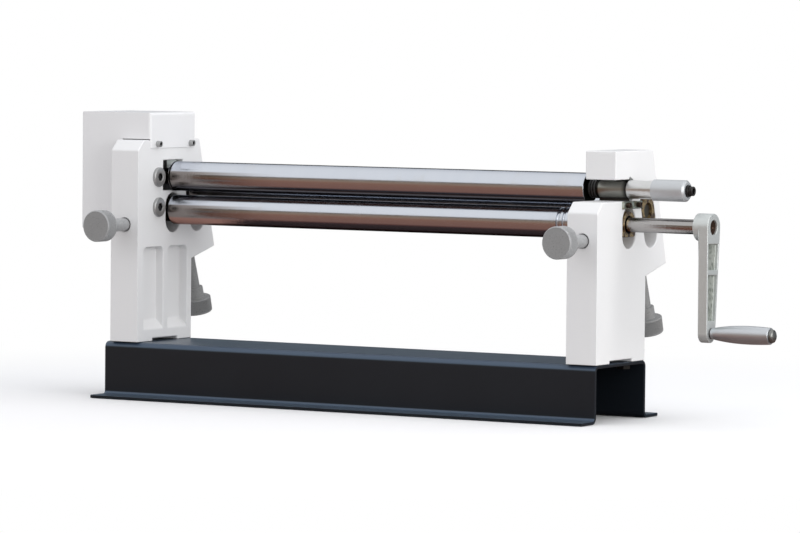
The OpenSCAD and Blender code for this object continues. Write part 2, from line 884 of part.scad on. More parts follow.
module front_knob(side) {
    color([0.58, 0.58, 0.59])
    translate([housing_middle(side), -housing_front - front_knob_reach, front_screw_z])
        rotate([-90, 0, 0]) rotate_extrude()
            knob_profile(front_knob_reach, knob_collar_front, front_neck_d, front_neck_d);
}

base_channel();
left_housing();
right_housing();
housing_bolt(-1, bolt_y[0]);  // left_front_bolt
housing_bolt(-1, bolt_y[1]);  // left_rear_bolt
housing_bolt(1, bolt_y[0]);  // right_front_bolt
housing_bolt(1, bolt_y[1]);  // right_rear_bolt
gear_cover();
cover_screw(cover_screw_y[0]);  // cover_screw_front
cover_screw(cover_screw_y[1]);  // cover_screw_rear
idler_axle(idler_z[1]);  // upper_idler_axle
idler_axle(idler_z[0]);  // lower_idler_axle
journal_seat();
retaining_plate();
retaining_screw(plate_screw_y[0]);  // retaining_screw_front
retaining_screw(plate_screw_y[1]);  // retaining_screw_rear
lower_bearing(left_out, left_in, journal_d / 2 + run_fit);  // lower_left_bearing
lower_bearing(right_in, right_out - block_recess, journal_right_d / 2 + run_fit);  // lower_right_bearing
lower_roll();
crank_arm();
handle_spindle();
crank_handle();
swivel_bearing();
upper_roll();
journal_ring(0);  // inner_ring
journal_ring(1);  // middle_ring
journal_ring(2);  // outer_ring
release_collar();
release_grip();
grip_screw();
rear_bearing(-1, left_out + cover_recess, left_in);  // rear_left_bearing
rear_bearing(1, right_in, right_out - block_recess);  // rear_right_bearing
rear_roll();
rear_screw(-1);  // rear_left_screw
rear_screw(1);  // rear_right_screw
rear_knob(-1);  // rear_left_knob
rear_knob(1);  // rear_right_knob
front_screw(-1);  // front_left_screw
front_screw(1);  // front_right_screw
front_knob(-1);  // front_left_knob
front_knob(1);  // front_right_knob
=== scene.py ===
import json
import math

import bmesh
import bpy
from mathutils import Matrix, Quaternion, Vector

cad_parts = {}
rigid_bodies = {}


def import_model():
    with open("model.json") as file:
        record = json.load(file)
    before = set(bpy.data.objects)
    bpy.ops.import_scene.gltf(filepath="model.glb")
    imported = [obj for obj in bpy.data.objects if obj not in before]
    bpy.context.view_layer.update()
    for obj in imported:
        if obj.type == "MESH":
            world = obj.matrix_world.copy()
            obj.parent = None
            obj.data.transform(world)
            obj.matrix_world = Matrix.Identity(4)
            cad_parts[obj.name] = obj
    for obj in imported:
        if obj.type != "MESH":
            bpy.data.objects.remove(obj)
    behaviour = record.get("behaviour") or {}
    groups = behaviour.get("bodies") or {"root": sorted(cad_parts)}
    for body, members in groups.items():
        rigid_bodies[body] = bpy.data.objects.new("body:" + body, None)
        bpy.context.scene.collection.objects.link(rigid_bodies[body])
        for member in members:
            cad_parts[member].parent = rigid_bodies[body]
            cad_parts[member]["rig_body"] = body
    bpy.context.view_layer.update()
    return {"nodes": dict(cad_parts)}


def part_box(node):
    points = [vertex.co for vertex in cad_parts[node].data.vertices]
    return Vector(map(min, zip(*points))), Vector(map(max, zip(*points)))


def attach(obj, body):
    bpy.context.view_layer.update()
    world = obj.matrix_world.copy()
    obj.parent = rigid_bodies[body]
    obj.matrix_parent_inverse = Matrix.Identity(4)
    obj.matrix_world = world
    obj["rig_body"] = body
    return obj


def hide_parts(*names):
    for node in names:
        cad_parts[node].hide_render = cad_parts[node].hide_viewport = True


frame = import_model()
MM = 0.001

# ---------------------------------------------------------------------------
# Camera. A long lens looks at the machine from its front right, a little from
# above, so that the uprights stay nearly parallel.
# ---------------------------------------------------------------------------
aim = Vector((0.04314, 0.0, 0.17801))
turn, dip, tilt = math.radians(30.873), math.radians(2.956), math.radians(0.539)
level = math.cos(dip)
sight = Vector((-math.sin(turn) * level, math.cos(turn) * level, -math.sin(dip)))
camera = bpy.data.objects.new("camera", bpy.data.cameras.new("camera"))
camera.data.lens, distance = 217.85, 6.0575
camera.data.sensor_width = 36
camera.data.clip_end = 60
camera.rotation_mode = "QUATERNION"
camera.location = aim - sight * distance
camera.rotation_quaternion = sight.to_track_quat("-Z", "Y") @ Quaternion((0, 0, 1), tilt)
bpy.context.scene.collection.objects.link(camera)
bpy.context.scene.camera = camera
bpy.context.scene.view_settings.view_transform = "Standard"


# ---------------------------------------------------------------------------
# Base. One steel sheet bent into a hat section with two floor flanges, powder
# coated in anthracite with a fine grain. The housings are bolted to its top.
# ---------------------------------------------------------------------------
class Wire:
    """One output of a node, so that shader maths is written as sums."""

    def __init__(self, tree, socket=None):
        self.tree, self.socket = tree, socket

    def node(self, kind, settings=None, inputs=None, out=0):
        """One output of a new node, whose settings and inputs are given by name or number."""
        made = self.tree.nodes.new("ShaderNode" + kind)
        for key, value in (settings or {}).items():
            if key == "stops":
                ramp = made.color_ramp
                for index, (place, colour) in enumerate(value):
                    stop = ramp.elements[index] if index < 2 else ramp.elements.new(place)
                    stop.position, stop.color = place, (*colour, 1)
            else:
                setattr(made, key, value)
        for key, value in (inputs or {}).items():
            if isinstance(value, Wire):
                self.tree.links.new(value.socket, made.inputs[key])
            else:
                made.inputs[key].default_value = value
        return Wire(self.tree, made.outputs[out])

    def sum(self, operation, *terms):
        return self.node("Math", {"operation": operation}, dict(enumerate(terms)))

    def __add__(self, other):
        return self.sum("ADD", self, other)

    __radd__ = __add__

    def __sub__(self, other):
        return self.sum("SUBTRACT", self, other)

    def __rsub__(self, other):
        return self.sum("SUBTRACT", other, self)

    def __mul__(self, other):
        return self.sum("MULTIPLY", self, other)

    __rmul__ = __mul__

    def place(self):
        """The point on the piece, in metres, in the machine's frame at rest."""
        return self.node("TexCoord", out=3)

    def part(self, axis):
        """One coordinate of that point."""
        return self.node("SeparateXYZ", None, {0: self.place()}, out="XYZ".index(axis))

    def grain(self, size, stretch=(1, 1, 1), detail=3.0, rough=0.5):
        """Noise whose patches are about size metres across, longer where stretch is small."""
        scaled = self.node("VectorMath", {"operation": "MULTIPLY"}, {0: self.place(), 1: stretch})
        settings = {"Vector": scaled, "Scale": 1 / size, "Detail": detail, "Roughness": rough}
        return self.node("TexNoise", None, settings)

    def facing(self, axis):
        """How far the surface looks along the axis, from -1 to 1."""
        normal = self.node("NewGeometry", out=1)
        return self.node("SeparateXYZ", None, {0: normal}, out="XYZ".index(axis))

    def between(self, low, high):
        """0 up to low, 1 from high, smooth between."""
        smooth = {"interpolation_type": "SMOOTHSTEP"}
        return self.node("MapRange", smooth, {0: self, 1: low, 2: high})

    def blend(self, first, second):
        """The first colour where this is 0, the second where it is 1."""
        ends = [c if isinstance(c, Wire) else (*c, 1) for c in (first, second)]
        inputs = {0: self, 6: ends[0], 7: ends[1]}
        return self.node("Mix", {"data_type": "RGBA"}, inputs, out=2)

    def relief(self, depth):
        """A normal whose surface rises by depth metres where this goes from 0 to 1."""
        return self.node("Bump", None, {"Height": self, "Distance": depth, "Strength": 1.0})


def finish(name, recipe, **fixed):
    """A material: fixed values stand on the shader's sockets, the recipe gives what varies."""
    material = bpy.data.materials.new(name)
    material.use_nodes = True
    shader = material.node_tree.nodes["Principled BSDF"]
    for socket, value in fixed.items():
        shader.inputs[socket.replace("_", " ")].default_value = value
    for socket, wire in recipe(Wire(material.node_tree)).items():
        material.node_tree.links.new(wire.socket, shader.inputs[socket])
    return material


def settle(piece, material, body, slot, *nodes, crease=38):
    """Shades a piece, gives it its material, and lets it ride in place of the nodes."""
    mesh = piece.data
    mesh.polygons.foreach_set("use_smooth", [True] * len(mesh.polygons))
    mesh.set_sharp_from_angle(angle=math.radians(crease))
    even = piece.modifiers.new("even", "WEIGHTED_NORMAL")
    even.keep_sharp = True
    shaped = piece.evaluated_get(bpy.context.evaluated_depsgraph_get())
    mesh = bpy.data.meshes.new_from_object(shaped)
    piece.modifiers.clear()
    piece.data = mesh
    mesh.materials.clear()
    mesh.materials.append(material)
    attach(piece, body)
    if nodes:
        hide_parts(*nodes)
    return piece


def piece_of(name, work):
    """A new object made from a bmesh."""
    mesh = bpy.data.meshes.new(name)
    work.to_mesh(mesh)
    work.free()
    piece = bpy.data.objects.new(name, mesh)
    bpy.context.scene.collection.objects.link(piece)
    return piece


def eased(node, edge, material, slot, steps=2, angle=28):
    """A copy of a CAD node with its sharp edges rounded, which stands for the node."""
    work = bmesh.new()
    work.from_mesh(frame["nodes"][node].data)
    bmesh.ops.remove_doubles(work, verts=work.verts, dist=2e-6)
    flat = math.radians(0.4)
    bmesh.ops.dissolve_limit(work, angle_limit=flat, verts=work.verts, edges=work.edges)
    piece = piece_of(node + "_finished", work)
    loaded = piece.data.attributes.get("custom_normal")
    if loaded:
        piece.data.attributes.remove(loaded)
    round_off = piece.modifiers.new("edges", "BEVEL")
    round_off.width = edge
    round_off.segments = steps
    round_off.limit_method = "ANGLE"
    round_off.angle_limit = math.radians(angle)
    round_off.use_clamp_overlap = False
    shaped = piece.evaluated_get(bpy.context.evaluated_depsgraph_get())
    piece.data = bpy.data.meshes.new_from_object(shaped)
    piece.modifiers.clear()
    return settle(piece, material, frame["nodes"][node]["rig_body"], slot, node)


def powder_coat(at):
    fine, cloud = at.grain(0.0011, detail=2), at.grain(0.09)
    up = at.facing("Z")
    # what looks up is painted a lighter blue-grey in patches, a painted sheen of the light above,
    # and the rounded folds carry a painted highlight
    painted_top_sheen = up.between(0.25, 0.75) * (0.75 + 0.5 * at.grain(0.05, detail=4))
    painted_bend_highlight = up.between(0.12, 0.40) * (1 - up.between(0.90, 0.98))
    tone = cloud.blend((0.0075, 0.0105, 0.0150), (0.0105, 0.0140, 0.0190))
    tone = painted_top_sheen.blend(tone, (0.051, 0.071, 0.101))
    return {
        "Base Color": painted_bend_highlight.blend(tone, (0.051, 0.075, 0.115)),
        "Roughness": 0.27 + 0.08 * cloud + 0.08 * fine,
        "Normal": fine.relief(0.00004),
    }


cool_sheen = (0.8, 0.92, 1.0, 1)
anthracite = finish("anthracite_powder_coat", powder_coat, Specular_Tint=cool_sheen)
eased("base_channel", 0.7 * MM, anthracite, "black_paint")


# ---------------------------------------------------------------------------
# Housings. Two heavy iron castings, filled, rubbed down and enamelled white;
# their long edges are rounded by the many coats. Four screws hold them down.
# ---------------------------------------------------------------------------
# a painted shadow line at the castings' feet, where they meet the base
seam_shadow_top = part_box("left_housing")[0].z + 0.45 * MM
seam_shadow_fade = 0.3 * MM


def enamel_skin(at):
    peel, cloud, speck = at.grain(0.0035, detail=1), at.grain(0.12), at.grain(0.0007, detail=4)
    tone = cloud.blend((0.775, 0.775, 0.785), (0.815, 0.815, 0.812))
    tone = speck.between(0.72, 0.80).blend(tone, (0.68, 0.68, 0.67))
    # the feet are painted dark: painted shadow in the seam with the base
    seam_shadow = 1 - at.part("Z").between(seam_shadow_top, seam_shadow_top + seam_shadow_fade)
    return {
        "Base Color": seam_shadow.blend(tone, (0.03, 0.03, 0.03)),
        "Roughness": 0.34 + 0.14 * cloud + 0.06 * speck,
        "Normal": (peel * 0.8 + speck * 0.2).relief(0.00006),
    }


white_enamel = finish("white_enamel", enamel_skin, Coat_Weight=0.12, Coat_Roughness=0.18)
eased("left_housing", 1.6 * MM, white_enamel, "white_paint", steps=3)
eased("right_housing", 1.6 * MM, white_enamel, "white_paint", steps=3)


# ---------------------------------------------------------------------------
# Housing screws. Four hexagon screws come up through the base's top plate, two
# into each casting; their blackened heads show under the plate.
# ---------------------------------------------------------------------------
def black_oxide(at):
    worn, cloud = at.grain(0.002), at.grain(0.01)
    return {
        "Base Color": cloud.blend((0.008, 0.007, 0.006), (0.022, 0.019, 0.017)),
        "Roughness": 0.35 + 0.2 * worn,
        "Normal": worn.relief(0.00003),
    }


oxide = finish("black_oxide", black_oxide, Metallic=0.2, Specular_IOR_Level=0.15)
for node in ("left_front_bolt", "left_rear_bolt", "right_front_bolt", "right_rear_bolt"):
    eased(node, 0.5 * MM, oxide, "screw_steel")


# ---------------------------------------------------------------------------
# Rolls. Three bars of carbon steel, turned and finely ground between centres,
# with a film of oil. The lower and rear ones have three wire grooves, and the
# lower one runs out at the right as the crank's shaft.
# ---------------------------------------------------------------------------
def turned(name, start, along, stations, sides=96, steps=3):
    """A piece from the lathe. A station is (distance, radius, rounding, outline), in mm:
    rounding eases that corner, and outline varies the radius with the angle."""
    corners = [(*station, 0, None)[:4] for station in stations]
    rings = []
    for index, (distance, radius, rounding, outline) in enumerate(corners):
        here = Vector((distance, radius))
        if not rounding or index in (0, len(corners) - 1):
            rings.append((distance, radius, outline))
            continue
        back, ahead = (Vector(corners[index + way][:2]) - here for way in (-1, 1))
        reach = rounding / max(math.tan(back.angle(ahead) / 2), 0.05)
        reach = min(reach, 0.49 * back.length, 0.49 * ahead.length)
        first, last = here + back.normalized() * reach, here + ahead.normalized() * reach
        for step in range(steps + 1):
            share = step / steps
            point = first * (1 - share) ** 2 + here * 2 * share * (1 - share) + last * share**2
            rings.append((point.x, max(point.y, 0), outline))
    work = bmesh.new()
    along = Vector(along).normalized()
    upright = Vector((0, 1, 0)) if abs(along.z) > 0.99 else Vector((0, 0, 1))
    upright = (upright - along * upright.dot(along)).normalized()
    aside = upright.cross(along)
    made = []
    for distance, radius, outline in rings:
        foot = Vector(start) + along * distance * MM
        if radius < 1e-6:
            made.append([work.verts.new(foot)])
            continue
        ring = []
        for side in range(sides):
            angle = math.tau * side / sides
            reach = radius * (outline(angle) if outline else 1) * MM
            around = aside * math.cos(angle) + upright * math.sin(angle)
            ring.append(work.verts.new(foot + around * reach))
        made.append(ring)
    for one, two in zip(made, made[1:]):
        for side in range(sides):
            after = (side + 1) % sides
            if len(one) == 1 and len(two) == 1:
                break
            if len(one) == 1:
                work.faces.new((one[0], two[after], two[side]))
            elif len(two) == 1:
                work.faces.new((one[side], one[after], two[0]))
            else:
                work.faces.new((one[side], one[after], two[after], two[side]))
    bmesh.ops.remove_doubles(work, verts=work.verts, dist=1e-7)
    bmesh.ops.recalc_face_normals(work, faces=work.faces)
    return piece_of(name, work)


# where the finish changes along a roll, as (from, to) in metres: the barrel's left end,
# a thin black ring on the upper roll's barrel, the barrel's right end, the grey journal between
# dark shoulders (black scale by the barrel, painted shade where it runs into the housing), the
# bright shaft and its oily end
left_end, ring_left, ring_right = (-0.3026, -0.3022), (-0.3024, -0.3020), (-0.2998, -0.2994)
right_end, journal_left, journal_right = (0.3050, 0.3054), (0.3205, 0.3225), (0.352, 0.360)
shaft_left, shaft_worn, shaft_oily = (0.3600, 0.3604), (0.362, 0.366), (0.4728, 0.4732)
between_rolls = (0.2585, 0.2620)


def ground_bar(at):
    lines = at.grain(0.0006, (1, 0.02, 0.02), detail=2)
    bands = at.grain(0.02, (1, 0.15, 0.15), detail=4)
    film = at.grain(0.05, (1, 1, 1), detail=5, rough=0.6)
    along = at.part("X")
    upper = at.part("Z").between(*between_rolls)
    ends = 1 - (along + 0.0018 * upper).between(*left_end)
    ends = ends + along.between(*right_end) - along.between(*shaft_left)
    black_ring = along.between(*ring_left) - along.between(*ring_right)
    ends = ends + upper * black_ring
    journal = along.between(*journal_left) * (1 - along.between(*journal_right))
    shaft_end = along.between(*shaft_oily)
    steel = bands.blend((0.59, 0.63, 0.70), (0.64, 0.67, 0.73))
    steel = film.between(0.55, 0.85).blend(steel, (0.60, 0.60, 0.60))
    # painted shade and a painted brown reflection: the left ends are painted dark brown except
    # where they look up, and all that looks down is painted brown on the lower and rear rolls and
    # near black in the nip on the upper roll
    height = at.facing("Z")
    left_end_painted_shade = (1 - along.between(-0.275, -0.13)) * (1 - height.between(0.30, 0.42))
    steel = (0.85 * left_end_painted_shade).blend(steel, (0.20, 0.165, 0.14))
    # painted undersides: a brown reflection on the lower and rear rolls, shade in the nip on the
    # upper roll
    below = upper.blend((0.40, 0.22, 0.18), (0.14, 0.13, 0.135))
    steel = (1 - (height + 0.04 * upper).between(-0.58, -0.42)).blend(steel, below)
    steel = along.between(*shaft_worn).blend(steel, (0.40, 0.39, 0.385))
    # the journal's dark shoulders: black scale by the barrel, painted shade where the journal runs
    # into the housing
    stub = journal.blend((0.020, 0.020, 0.019), (0.30, 0.305, 0.28))
    steel = ends.between(0.2, 0.8).blend(steel, stub)
    dull = 0.12 + 0.08 * bands + 0.10 * film.between(0.45, 0.75)
    return {
        "Base Color": shaft_end.blend(steel, (0.12, 0.075, 0.055)),
        "Roughness": dull + 0.2 * ends + 0.2 * shaft_end,
        "Normal": lines.relief(0.00009),
    }


grazing_tint = (0.45, 0.46, 0.48, 1)
ground_steel = finish("ground_steel", ground_bar, Metallic=1.0, Specular_Tint=grazing_tint)
roll_radius, roll_edge = 19, 1.0
barrel_left, barrel_right = -304, 306
groove_places, groove_radii = (270, 278, 286), (2.5, 2.0, 1.5)


def barrel(grooves):
    """Stations of a roll's ground barrel, with the wire grooves if asked."""
    inner = roll_radius - roll_edge
    line = [(barrel_left, inner), (barrel_left + roll_edge, roll_radius, 0.3)]
    for place, size in zip(groove_places, groove_radii) if grooves else ():
        for degrees in range(-90, 91, 18):
            angle = math.radians(degrees)
            line.append((place + size * math.sin(angle), roll_radius - size * math.cos(angle)))
    return line + [(barrel_right - roll_edge, roll_radius, 0.3), (barrel_right, inner)]


def key_seat(angle):
    """The shaft's outline where its keyway is cut at the top."""
    return 0.7 if abs(angle - math.pi / 2) < 0.27 else 1


def roll_from_bar(node, before, after, grooves):
    """A roll on its node's axis: stations before the barrel, the barrel, and stations after it."""
    low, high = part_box(node)
    centre = (0, (low.y + high.y) / 2, high.z - roll_radius * MM)
    stations = before + barrel(grooves) + after
    roll = turned(node + "_ground", centre, (1, 0, 0), stations, sides=160)
    settle(roll, ground_steel, node, "roll_steel", node)


roll_from_bar(
    "lower_roll",
    [(-352, 0), (-352, 10, 0.6), (barrel_left, 10)],
    [(barrel_right, 11), (359, 11, 0.4), (359, 9), (455, 9), (455, 9, 0, key_seat),
     (473.2, 9, 0, key_seat), (474, 8.2, 0, key_seat), (474, 1.6), (472.6, 0)],
    True,
)
roll_from_bar(
    "upper_roll",
    [(-352, 0), (-352, 10, 0.6), (barrel_left, 10)],
    [(barrel_right, 11), (360, 11, 0.4), (360, 8), (440, 8), (440, 0)],
    False,
)
roll_from_bar(
    "rear_roll",
    [(-345, 0), (-345, 10, 0.6), (barrel_left, 10)],
    [(barrel_right, 10), (356, 10, 0.6), (356, 0)],
    True,
)


# ---------------------------------------------------------------------------
# Bearings. The lower and rear rolls run in bronze blocks that slide in the
# housings' slots; the upper roll's left end turns in a black swivel block, and
# its right end lies in a half shell. All are wet with oil.
# ---------------------------------------------------------------------------
def oily_bronze_skin(at):
    pool, fine = at.grain(0.007, detail=4), at.grain(0.0012)
    tone = pool.between(0.42, 0.60).blend((0.52, 0.37, 0.18), (0.075, 0.042, 0.024))
    # the left blocks are painted near black
    tone = at.part("X").between(-0.2, -0.1).blend((0.030, 0.026, 0.022), tone)
    return {
        "Base Color": tone,
        "Roughness": 0.16 + 0.2 * pool + 0.1 * fine,
        "Metallic": 0.95 - 0.3 * pool.between(0.4, 0.7),
        "Normal": fine.relief(0.00004),
    }


def blackened_skin(at):
    worn, fine = at.grain(0.006, detail=5), at.grain(0.0009)
    # the swivel block's upper rear corner is painted pale: a painted patch of light
    painted_light_patch = at.part("Z").between(0.280, 0.282) * at.part("Y").between(0.0100, 0.0115)
    painted_light_patch = painted_light_patch * (1 - at.part("X").between(-0.25, -0.2))
    black = worn.between(0.45, 0.7).blend((0.018, 0.017, 0.017), (0.055, 0.052, 0.05))
    return {
        "Base Color": painted_light_patch.blend(black, (0.85, 0.90, 0.87)),
        "Roughness": 0.3 + 0.25 * worn,
        "Normal": fine.relief(0.00004),
    }


def dark_seat_skin(at):
    patch, fine = at.grain(0.004, detail=4), at.grain(0.0009)
    # the seat's outer end face is pale steel, the rest is painted near black
    outer = at.part("X").between(0.3592, 0.3598)
    bright = patch.between(0.4, 0.7).blend((0.42, 0.43, 0.42), (0.24, 0.24, 0.23))
    return {
        "Base Color": outer.blend((0.035, 0.032, 0.030), bright),
        "Roughness": 0.28 + 0.2 * patch,
        "Normal": fine.relief(0.00003),
    }


dark_seat = finish("dark_seat_steel", dark_seat_skin, Metallic=0.8)
oily_bronze = finish("oily_bronze", oily_bronze_skin, Coat_Weight=0.3, Coat_Roughness=0.1)
blackened = finish("blackened_steel", blackened_skin, Metallic=0.6)
for node in ("lower_left_bearing", "lower_right_bearing",
             "rear_left_bearing", "rear_right_bearing"):
    eased(node, 0.4 * MM, oily_bronze, "oily_bronze")
eased("swivel_bearing", 0.5 * MM, blackened, "dark_steel")
eased("journal_seat", 0.35 * MM, dark_seat, "plated_steel")


# ---------------------------------------------------------------------------
# Journal rings. Three black rubber rings seal the upper roll's right journal
# beside the barrel; they lie loosely in their grooves, a little apart.
# ---------------------------------------------------------------------------
def rubber_skin(at):
    fine = at.grain(0.0006)
    return {
        "Base Color": fine.blend((0.006, 0.006, 0.007), (0.016, 0.016, 0.017)),
        "Roughness": 0.42 + 0.15 * fine,
        "Normal": fine.relief(0.00003),
    }


def axis_of(node, x=0.0):
    """The point at x on the line along X through the middle of a node's box."""
    low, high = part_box(node)
    return Vector((x, (low.y + high.y) / 2, (low.z + high.z) / 2))


black_rubber = finish("black_rubber", rubber_skin)
bore, rim_radius, width = 11.05, 12, 2.4
profile = [(0, bore), (0, rim_radius, 0.9), (width, rim_radius, 0.9), (width, bore), (0, bore)]
for node in ("inner_ring", "middle_ring", "outer_ring"):
    left = axis_of(node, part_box(node)[0].x)
    ring = turned(node + "_moulded", left, (1, 0, 0), profile, sides=120)
    settle(ring, black_rubber, "upper_roll", "black_rubber", node)


# ---------------------------------------------------------------------------
# Release end. A bright turned collar and a lacquered grip are clamped on the
# upper roll's stub by a black socket screw; with them the roll is swung out.
# ---------------------------------------------------------------------------
def hexagon(angle):
    """Outline of a hexagon socket whose stations give the radius of its corners."""
    return math.cos(math.pi / 6) / math.cos(angle % (math.pi / 3) - math.pi / 6)


def bright_turned(at):
    lines, cloud = at.grain(0.0006, (1, 0.03, 0.03), detail=2), at.grain(0.015)
    return {
        "Base Color": cloud.blend((0.60, 0.61, 0.61), (0.70, 0.71, 0.71)),
        "Roughness": 0.2 + 0.14 * lines + 0.1 * cloud,
        "Normal": lines.relief(0.000008),
    }


def satin_lacquer(at):
    fine, cloud = at.grain(0.0008, detail=2), at.grain(0.03)
    return {
        "Base Color": cloud.blend((0.49, 0.51, 0.53), (0.55, 0.57, 0.59)),
        "Roughness": 0.34 + 0.1 * cloud + 0.08 * fine,
        "Normal": fine.relief(0.00003),
    }


bright_steel = finish("bright_turned_steel", bright_turned, Metallic=1.0)
satin_grey = finish("satin_grey_lacquer", satin_lacquer, Metallic=0.55)
centre = axis_of("release_collar")
bore, collar_left, grip_left, grip_right = 8.05, 360.3, 394.5, 440
collar = turned("release_collar_turned", centre, (1, 0, 0), [
    (collar_left, bore), (collar_left, 11.4, 0.6), (grip_left, 11.4, 0.5), (grip_left, bore),
    (collar_left, bore)], sides=120)
settle(collar, bright_steel, "upper_roll", "plated_steel", "release_collar")
grip = turned("release_grip_turned", centre, (1, 0, 0), [
    (grip_left, bore), (grip_left, 13.15, 0.5), (437.5, 13.15, 0.8),
    (grip_right, 10.65, 0.6), (grip_right, bore), (grip_left, bore)], sides=120)
settle(grip, satin_grey, "upper_roll", "turned_aluminium", "release_grip")
grip_screw = turned("grip_screw_turned", centre, (1, 0, 0), [
    (grip_right, 0), (grip_right, 7, 0), (443, 7, 0.6), (443, 5.8, 0), (448, 5.8, 0.7),
    (448, 3.9, 0.3), (447.5, 3.45, 0, hexagon), (444.5, 3.45, 0, hexagon), (444.1, 0)], sides=96)
settle(grip_screw, blackened, "upper_roll", "dark_steel", "grip_screw")


# ---------------------------------------------------------------------------
# Retaining plate. A plated strip on the right housing's outer face keeps the
# lower block in its slot; two small brown-black screws hold it.
# ---------------------------------------------------------------------------
def passivated(at):
    bloom, fine = at.grain(0.006, detail=4), at.grain(0.0012)
    tone = bloom.between(0.42, 0.62).blend((0.46, 0.50, 0.44), (0.20, 0.17, 0.10))
    return {
        "Base Color": tone,
        "Roughness": 0.10 + 0.2 * bloom,
        "Normal": fine.relief(0.00002),
    }


yellow_passivated = finish("passivated_zinc", passivated, Metallic=1.0)
eased("retaining_plate", 0.5 * MM, yellow_passivated, "yellow_zinc")


def cap_screw(node, length, head_radius, socket_radius, depth, material, slot):
    """A socket screw's head, outwards from its seat, with a hexagon cut into its end and a thin
    black piece in the hexagon as painted shade."""
    seat, along = axis_of(node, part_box(node)[0].x), (1, 0, 0)
    mouth, bottom = length - 0.3, length - depth
    head = turned(node + "_turned", seat, along, [
        (0, 0), (0, head_radius, 0.2), (length, head_radius, 0.6),
        (length, socket_radius * 1.12, 0.2), (mouth, socket_radius, 0, hexagon),
        (bottom, socket_radius, 0, hexagon), (bottom - 0.3, 0)], sides=96)
    settle(head, material, "frame", slot, node)
    # a thin black piece stands in the socket as painted shade
    outer, inner = socket_radius * 0.99, socket_radius * 0.9
    lining = turned(node + "_socket", seat, along, [
        (bottom, 0), (bottom, outer, 0, hexagon), (length - 0.35, outer, 0, hexagon),
        (length - 0.35, inner, 0, hexagon), (bottom + 0.1, inner, 0, hexagon),
        (bottom + 0.1, 0)], sides=96)
    settle(lining, black_rubber, "frame", slot)


def burnt_oil(at):
    patch = at.grain(0.003, detail=4)
    return {
        "Base Color": patch.blend((0.10, 0.062, 0.045), (0.035, 0.026, 0.022)),
        "Roughness": 0.3 + 0.2 * patch,
        "Normal": patch.relief(0.00004),
    }


browned = finish("browned_steel", burnt_oil, Metallic=0.75)
for node in ("retaining_screw_front", "retaining_screw_rear"):
    cap_screw(node, 3, 3.5, 2, 1.5, browned, "dark_steel")


# ---------------------------------------------------------------------------
# Crank. A sand-cast aluminium arm, painted thinly in greenish grey, is keyed to
# the lower roll's shaft. Its outer face has two shallow recesses with a web
# between them; the shaft's oily end and its key show in the bore.
# ---------------------------------------------------------------------------
def sand_cast(at):
    rough, fine, cloud = at.grain(0.0022, detail=4), at.grain(0.0007), at.grain(0.03)
    # the recesses' floors are darker and rougher: they look outward and lie below the rims
    outward = at.facing("X").between(0.5, 0.9)
    sunk = at.part("X").between(0.470, 0.4705) * (1 - at.part("X").between(0.4745, 0.4755))
    recess = outward * sunk
    skin = cloud.blend((0.55, 0.58, 0.575), (0.61, 0.64, 0.635))
    blotch = at.grain(0.006, detail=3).between(0.35, 0.6)
    recess_floor_tone = blotch.blend((0.21, 0.235, 0.205), (0.41, 0.435, 0.40))
    return {
        "Base Color": recess.blend(skin, recess_floor_tone),
        "Roughness": 0.36 + 0.15 * rough,
        "Normal": (rough * (0.6 + 0.2 * recess) + fine * 0.3).relief(0.00028),
    }


cast_aluminium = finish("cast_aluminium", sand_cast, Metallic=0.55)
eased("crank_arm", 0.9 * MM, cast_aluminium, "cast_aluminium", steps=3)
low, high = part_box("lower_roll")
shaft = Vector((0, (low.y + high.y) / 2, high.z - roll_radius * MM))
key_size, key_place = Vector((19, 4.8, 5.2)) * MM, Vector((464.3, 0, 8.4)) * MM
key = bmesh.new()
bmesh.ops.create_cube(key, size=1)
bmesh.ops.scale(key, vec=key_size, verts=key.verts)
bmesh.ops.bevel(key, geom=key.edges, offset=0.3 * MM, segments=2, affect="EDGES")
bmesh.ops.translate(key, vec=shaft + key_place, verts=key.verts)
settle(piece_of("crank_key", key), browned, "lower_roll", "dark_steel")


# ---------------------------------------------------------------------------
# Handle. A belly-shaped grip turned from aluminium and tumbled to a satin grey
# spins freely on a steel spindle, whose domed head keeps it on the crank.
# ---------------------------------------------------------------------------
# a painted shadow of a groove rings the handle's inner end
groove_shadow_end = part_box("crank_handle")[0].x + 1.2 * MM


def tumbled(at):
    lines = at.grain(0.0008, (1, 0.08, 0.08), detail=2)
    cloud, fine = at.grain(0.02), at.grain(0.0006)
    # painted shadow of the groove
    groove = 1 - at.part("X").between(groove_shadow_end, groove_shadow_end + 0.3 * MM)
    tone = cloud.blend((0.56, 0.585, 0.62), (0.62, 0.645, 0.68))
    return {
        "Base Color": groove.blend(tone, (0.06, 0.06, 0.06)),
        "Roughness": 0.33 + 0.08 * cloud + 0.06 * lines,
        "Normal": (lines * 0.5 + fine * 0.5).relief(0.00002),
    }


tumbled_aluminium = finish("tumbled_aluminium", tumbled, Metallic=0.9)
foot = axis_of("handle_spindle")
handle_left = foot + Vector((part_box("crank_handle")[0].x, 0, 0))
bore, handle_length, end_radius, swell, steps = 4.1, 80, 6.75, 4.5, 24
belly = []
for step in range(steps + 1):
    bulge = math.sin(math.radians(130) * (step / steps) ** 0.8)
    belly.append((3 + 77 * step / steps, end_radius + swell * bulge))
handle = turned("crank_handle_turned", handle_left, (1, 0, 0), [
    (0, bore), (0, end_radius, 0.5), (2.5, end_radius, 0.3), (2.7, 6.35), *belly[:-1],
    (handle_length, belly[-1][1], 0.9), (handle_length, bore), (0, bore)], sides=128)
settle(handle, tumbled_aluminium, "crank_handle", "turned_aluminium", "crank_handle")


def dulled_steel(at):
    lines, cloud = at.grain(0.0007, detail=2), at.grain(0.004)
    return {
        "Base Color": cloud.blend((0.17, 0.175, 0.17), (0.27, 0.275, 0.265)),
        "Roughness": 0.30 + 0.1 * cloud,
        "Normal": lines.relief(0.00002),
    }


